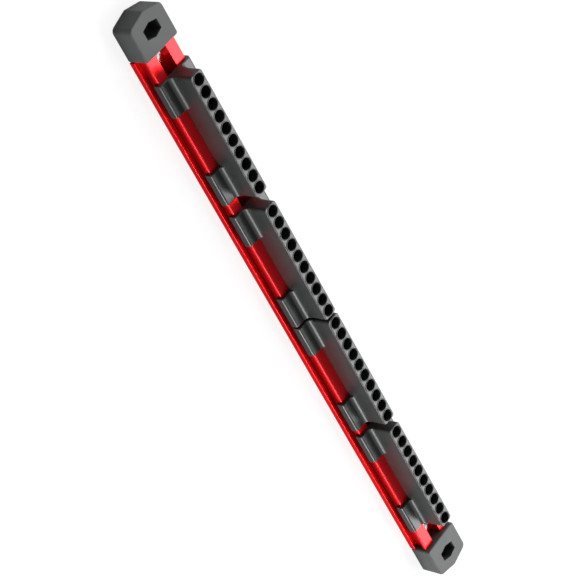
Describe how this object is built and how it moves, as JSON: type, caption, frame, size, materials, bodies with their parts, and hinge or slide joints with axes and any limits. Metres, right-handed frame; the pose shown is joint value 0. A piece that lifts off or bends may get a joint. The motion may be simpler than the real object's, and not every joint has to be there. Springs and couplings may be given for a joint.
{
  "type": "magnetic bit holder rail",
  "caption": "Magnetic wall or bench rail with rows of round sockets for screwdriver bits on sliding holders, closed by pointed end caps with a hexagonal opening.",
  "frame": {"origin": "on the underside, in the middle between the two end caps", "axes": "+X along the rail, +Y across it, +Z out of the rail towards the socket mouths"},
  "size_m": [0.4672, 0.029, 0.0323],
  "materials": {
    "red_anodised": "red anodised",
    "grey_plastic": "fine matt",
    "black_plastic": "satin",
    "black_magnet": "sintered",
    "nickel_magnet": "nickel plated",
    "backing_rubber": "matt"
  },
  "bodies": {
    "rail_body": {"rail": "red_anodised", "backing_pad": "backing_rubber", "end_cap_left": "grey_plastic", "end_cap_right": "grey_plastic", "base_magnet_1": "nickel_magnet", "base_magnet_2": "nickel_magnet", "base_magnet_3": "nickel_magnet", "base_magnet_4": "nickel_magnet", "base_magnet_5": "nickel_magnet", "base_magnet_6": "nickel_magnet", "base_magnet_7": "nickel_magnet", "base_magnet_8": "nickel_magnet"},
    "holder_1": {"bit_holder_1": "black_plastic", "bit_magnet_1": "black_magnet"},
    "holder_2": {"bit_holder_2": "black_plastic", "bit_magnet_2": "black_magnet"},
    "holder_3": {"bit_holder_3": "black_plastic", "bit_magnet_3": "black_magnet"},
    "holder_4": {"bit_holder_4": "black_plastic", "bit_magnet_4": "black_magnet"}
  },
  "joints": [
    {"name": "holder_1_slide", "type": "slide", "parent": "rail_body", "child": "holder_1", "axis": [1, 0, 0], "range_m": [-0.0162, 0.0044]},
    {"name": "holder_2_slide", "type": "slide", "parent": "rail_body", "child": "holder_2", "axis": [1, 0, 0], "range_m": [-0.0044, 0.0005]},
    {"name": "holder_3_slide", "type": "slide", "parent": "rail_body", "child": "holder_3", "axis": [1, 0, 0], "range_m": [-0.0005, 0.0026]},
    {"name": "holder_4_slide", "type": "slide", "parent": "rail_body", "child": "holder_4", "axis": [1, 0, 0], "range_m": [-0.0026, 0.0193]}
  ]
}
